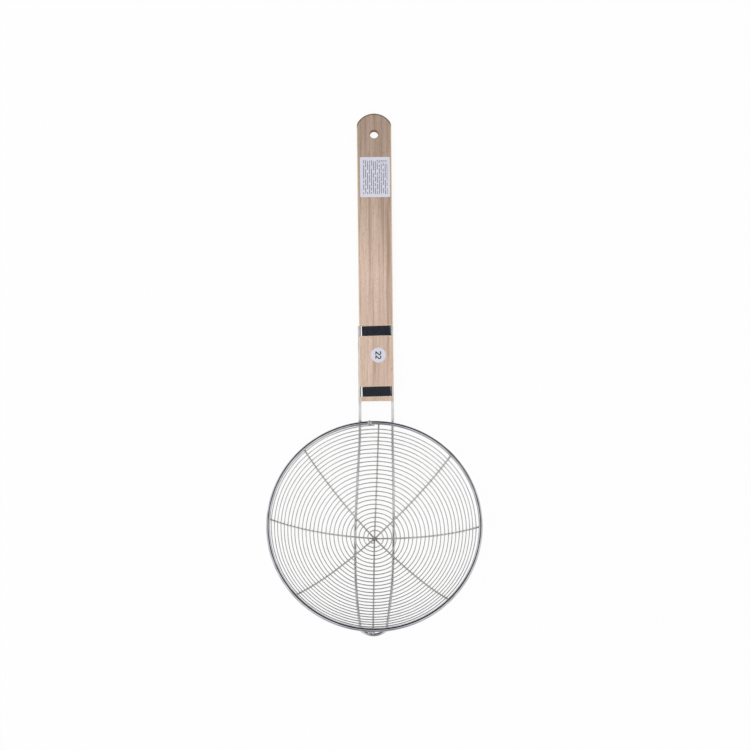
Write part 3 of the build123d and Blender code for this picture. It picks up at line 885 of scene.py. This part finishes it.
# Paper labels
labels = {
    "paper": "#DADAE6", "paperShade": "#C9C9D8", "print": "#5E5F70",
    "fibre": 0.35,               # mm, of the paper's mottling
    "line": (2.1, 0.85),         # mm from one printed line to the next, and a line's width
    "word": 4.2,                 # mm along a line from one dash to the next
    "gap": 0.43,                 # the noise has to pass this to leave a dash
    "cover": 0.85,               # share of the paper's colour that the print hides
    "centre": (0.6, 239.8),      # on the board, of the oblong label
    "printed": (13.2, 18.4),     # half sizes of the part that bears lines
    "roundCentre": (2.2, 48.8),
    "number": "#33343C", "thinNumber": "#4A4B55",
}


def coatedPaper(name, lined):
    # White coated paper, glued on: a faint blue cast and mottling, and plain grey dashes in
    # rows where the real one has its print
    material, tree, shader = newMaterial(name, {"Roughness": 0.42, "Specular IOR Level": 0.4})
    place = put(tree, "TexCoord")
    mottle = put(tree, "TexNoise", links={"Vector": place.outputs["Object"],
                                          "Scale": 1 / (labels["fibre"] * millimetre),
                                          "Detail": 4.0})
    paper = put(tree, "ValToRGB", {"stops": ((0.35, labels["paperShade"]), (0.6, labels["paper"]))},
                {"Fac": mottle})
    colour = paper
    if lined:
        centred = put(tree, "VectorMath", {"operation": "SUBTRACT"},
                      {0: boardPlace(tree, place),
                       1: tuple(value * millimetre for value in labels["centre"]) + (0.0,)})
        axes = put(tree, "SeparateXYZ", links={"Vector": centred})
        spacing, width = labels["line"]
        rows = put(tree, "Math", {"operation": "DIVIDE"},
                   {0: axes.outputs["X"], 1: spacing * millimetre})
        row = put(tree, "Math", {"operation": "FLOOR"}, {0: rows})
        inRow = put(tree, "Math", {"operation": "FRACT"}, {0: rows})
        onLine = put(tree, "Math", {"operation": "LESS_THAN"}, {0: inRow, 1: width / spacing})
        steps = put(tree, "Math", {"operation": "DIVIDE"},
                    {0: axes.outputs["Y"], 1: labels["word"] * millimetre})
        cell = put(tree, "CombineXYZ", links={"X": row, "Y": steps})
        words = put(tree, "TexNoise", links={"Vector": cell, "Scale": 1.0, "Detail": 1.0})
        dash = put(tree, "Math", {"operation": "GREATER_THAN"}, {0: words, 1: labels["gap"]})
        inside = []
        for axis, half in zip(("X", "Y"), labels["printed"]):
            size = put(tree, "Math", {"operation": "ABSOLUTE"}, {0: axes.outputs[axis]})
            inside.append(put(tree, "Math", {"operation": "LESS_THAN"},
                              {0: size, 1: half * millimetre}))
        mask = onLine
        for other in (dash, *inside):
            mask = put(tree, "Math", times, {0: mask, 1: other})
        mask = put(tree, "Math", times, {0: mask, 1: labels["cover"]})
        colour = put(tree, "Mix", ofColours, {"Factor": mask, "A": colour, "B": labels["print"]})
    skin = put(tree, "Bump", links={"Strength": 0.15, "Distance": 0.03 * millimetre,
                                    "Height": mottle})
    feed(tree, shader, {"Base Color": colour, "Normal": skin})
    return material


figure = {
    "height": 5.2, "width": 3.1, "apart": 4.3,   # mm, of one figure and from one to the next
    "stroke": (0.58, 0.03),                      # half width and half thickness
    "lift": 0.165,                               # mm over the board's face
    "points": 26, "sides": 8,
}


def figureRings():
    # Twice the figure two: a half round top, a slant and a foot, as a flat stroke. It is read
    # down the handle, with its head to the right.
    bow = np.radians(np.linspace(170, -35, figure["points"]))
    head = np.stack([0.5 * np.cos(bow), 0.72 + 0.28 * np.sin(bow)], axis=1)
    slant = head[-1] + (np.array([-0.5, 0.0]) - head[-1]) * np.linspace(0, 1, 12)[1:, None]
    foot = np.array([-0.5, 0.0]) + np.array([1.0, 0.0]) * np.linspace(0, 1, 10)[1:, None]
    line = np.concatenate([head, slant, foot]) * np.array([figure["width"], figure["height"]])
    heading = unit(np.gradient(line, axis=0))
    beside = np.stack([-heading[:, 1], heading[:, 0]], axis=1)
    turn = np.linspace(0, 2 * math.pi, figure["sides"], endpoint=False)
    wide, thick = figure["stroke"]
    flat = line[:, None, :] + beside[:, None, :] * (wide * np.cos(turn))[None, :, None]
    lift = handle["thickness"] / 2 + figure["lift"] + thick * np.sin(turn)
    shells = []
    for shift in (-0.5, 0.5):
        x = labels["roundCentre"][0] + flat[..., 1] - figure["height"] / 2
        y = labels["roundCentre"][1] - flat[..., 0] - shift * figure["apart"]
        shells.append(fromBoard(np.stack(np.broadcast_arrays(x, y, lift[None, :]), axis=-1)))
    return np.stack(shells)


def printedInk(name):
    # Black printing ink on paper: matt, a little thin in places
    material, tree, shader = newMaterial(name, {"Roughness": 0.6, "Specular IOR Level": 0.2})
    place = put(tree, "TexCoord")
    cover = put(tree, "TexNoise", links={"Vector": place.outputs["Object"],
                                         "Scale": 1 / (0.3 * millimetre), "Detail": 3.0})
    inks = ((0.35, labels["number"]), (0.75, labels["thinNumber"]))
    shade = put(tree, "ValToRGB", {"stops": inks}, {"Fac": cover})
    feed(tree, shader, {"Base Color": shade})
    return material


ringPiece("size_figures", figureRings(), printedInk("printedInk"))
dress("product_label", coatedPaper("printedCoatedPaper", True))
dress("size_label", coatedPaper("plainCoatedPaper", False))
print("labels dressed")


# Floor, light and camera
studio = {
    "floorSize": 24.0,           # metres
    "keep": 0.92,                # how far the floor is plain white for the eye
    "lampPlace": (-0.30, 0.10, 1.9),
    "lampAim": (0.0, 0.0, 0.0),
    "lampSize": 1.4,
    "lampPower": 17.0,
    "skyDiffuse": 0.62,
    "darkAim": 90.0,             # degrees from +X of the black card, the grey one is opposite
    "darkHalf": 36.0,            # degrees from a card's middle to its soft side
    "sideSoft": 0.15,            # half width of that side, as a cosine
    "lowEdge": (-0.08, 0.12),    # heights where the cards start at their foot and are full
    "highEdge": (0.99, 0.97),    # and the same at their top
    "dark": "#1C1C1E", "grey": "#A3A1AC", "cloth": "#F4F4F4",
}

camera = {
    "place": (0.60787, -13.02045, 1103.3663),   # mm, straight above, looking down
    "lens": 48.97044,
    "sensor": 36.0,
}


def whiteToEye(tree):
    # 1 where the camera, a polished metal or a clear body looks, 0 for the light itself
    light = put(tree, "LightPath")
    either = put(tree, "Math", {"operation": "MAXIMUM"},
                 {0: light.outputs["Is Glossy Ray"], 1: light.outputs["Is Transmission Ray"]})
    return put(tree, "Math", {"operation": "MAXIMUM"},
               {0: light.outputs["Is Camera Ray"], 1: either})


def makeFloor():
    # a wide flat square under the part: mostly plain white to the eye, pale cloth to the light
    half = studio["floorSize"] / 2
    mesh = bpy.data.meshes.new("floor")
    mesh.from_pydata([(-half, -half, 0), (half, -half, 0), (half, half, 0), (-half, half, 0)], [],
                     [(0, 1, 2, 3)])
    floor = bpy.data.objects.new("floor", mesh)
    bpy.context.scene.collection.objects.link(floor)
    material = bpy.data.materials.new("paleTable")
    tree = emptyTree(material)
    lit = put(tree, "BsdfDiffuse", links={"Color": studio["cloth"]})
    plain = put(tree, "Emission", links={"Color": "#FFFFFF", "Strength": 1.0})
    share = put(tree, "Math", times, {0: whiteToEye(tree), 1: studio["keep"]})
    mixed = put(tree, "MixShader", links={"Fac": share, 1: lit, 2: plain})
    put(tree, "OutputMaterial", links={"Surface": mixed})
    mesh.materials.append(material)


def makeSky():
    # white to the eye, a plain soft level for the light, and two cards that only polished
    # metal shows: a black one past the handle and a grey one before the bowl
    world = bpy.data.worlds.new("studio")
    bpy.context.scene.world = world
    tree = emptyTree(world)
    place = put(tree, "TexCoord")
    ways = put(tree, "SeparateXYZ", links={"Vector": place.outputs["Generated"]})
    level = put(tree, "CombineXYZ", links={"X": ways.outputs["X"], "Y": ways.outputs["Y"]})
    around = put(tree, "VectorMath", {"operation": "NORMALIZE"}, {0: level})
    aim = math.radians(studio["darkAim"])
    facing = put(tree, "VectorMath", {"operation": "DOT_PRODUCT"},
                 {0: around, 1: (math.cos(aim), math.sin(aim), 0.0)})
    edge, soft = math.cos(math.radians(studio["darkHalf"])), studio["sideSoft"]
    low = put(tree, "MapRange", softly, {"Value": ways.outputs["Z"], "range": studio["lowEdge"]})
    high = put(tree, "MapRange", softly,
               {"Value": ways.outputs["Z"], "range": studio["highEdge"]})
    height = put(tree, "Math", times, {0: low, 1: high})
    light = put(tree, "LightPath")
    shown = put(tree, "Math", times, {0: height, 1: light.outputs["Is Glossy Ray"]})
    eye = (1.0, 1.0, 1.0, 1.0)
    for sign, colour in ((1, studio["dark"]), (-1, studio["grey"])):
        side = (sign * (edge - soft), sign * (edge + soft))
        wide = put(tree, "MapRange", softly, {"Value": facing.outputs["Value"], "range": side})
        seen = put(tree, "Math", times, {0: shown, 1: wide})
        eye = put(tree, "Mix", ofColours, {"Factor": seen, "A": eye, "B": colour})
    plain = (studio["skyDiffuse"],) * 3 + (1.0,)
    colour = put(tree, "Mix", ofColours, {"Factor": whiteToEye(tree), "A": plain, "B": eye})
    sky = put(tree, "Background", links={"Color": colour, "Strength": 1.0})
    put(tree, "OutputWorld", links={"Surface": sky})


def makeLamp():
    # one wide square lamp, turned from straight down by the angles of its way to the aim
    lamp = bpy.data.lights.new("softLamp", "AREA")
    lamp.shape = "SQUARE"
    lamp.size = studio["lampSize"]
    lamp.energy = studio["lampPower"]
    holder = bpy.data.objects.new("softLamp", lamp)
    holder.location = studio["lampPlace"]
    holder.visible_glossy = False          # the metal shows the plain sky in its place
    away = np.array(studio["lampPlace"]) - np.array(studio["lampAim"])
    holder.rotation_euler = (math.atan2(math.hypot(away[0], away[1]), away[2]), 0.0,
                             math.atan2(away[1], away[0]) + math.pi / 2)
    bpy.context.scene.collection.objects.link(holder)


def makeCamera():
    # the photograph's own place and lens, as fitted
    lens = bpy.data.cameras.new("photoCamera")
    lens.sensor_width = camera["sensor"]
    lens.lens = camera["lens"]
    lens.clip_start = 0.01
    holder = bpy.data.objects.new("photoCamera", lens)
    holder.location = tuple(value * millimetre for value in camera["place"])
    bpy.context.scene.collection.objects.link(holder)
    bpy.context.scene.camera = holder


makeFloor()
makeSky()
makeLamp()
makeCamera()
bpy.context.scene.view_settings.view_transform = "Standard"
print("studio made")
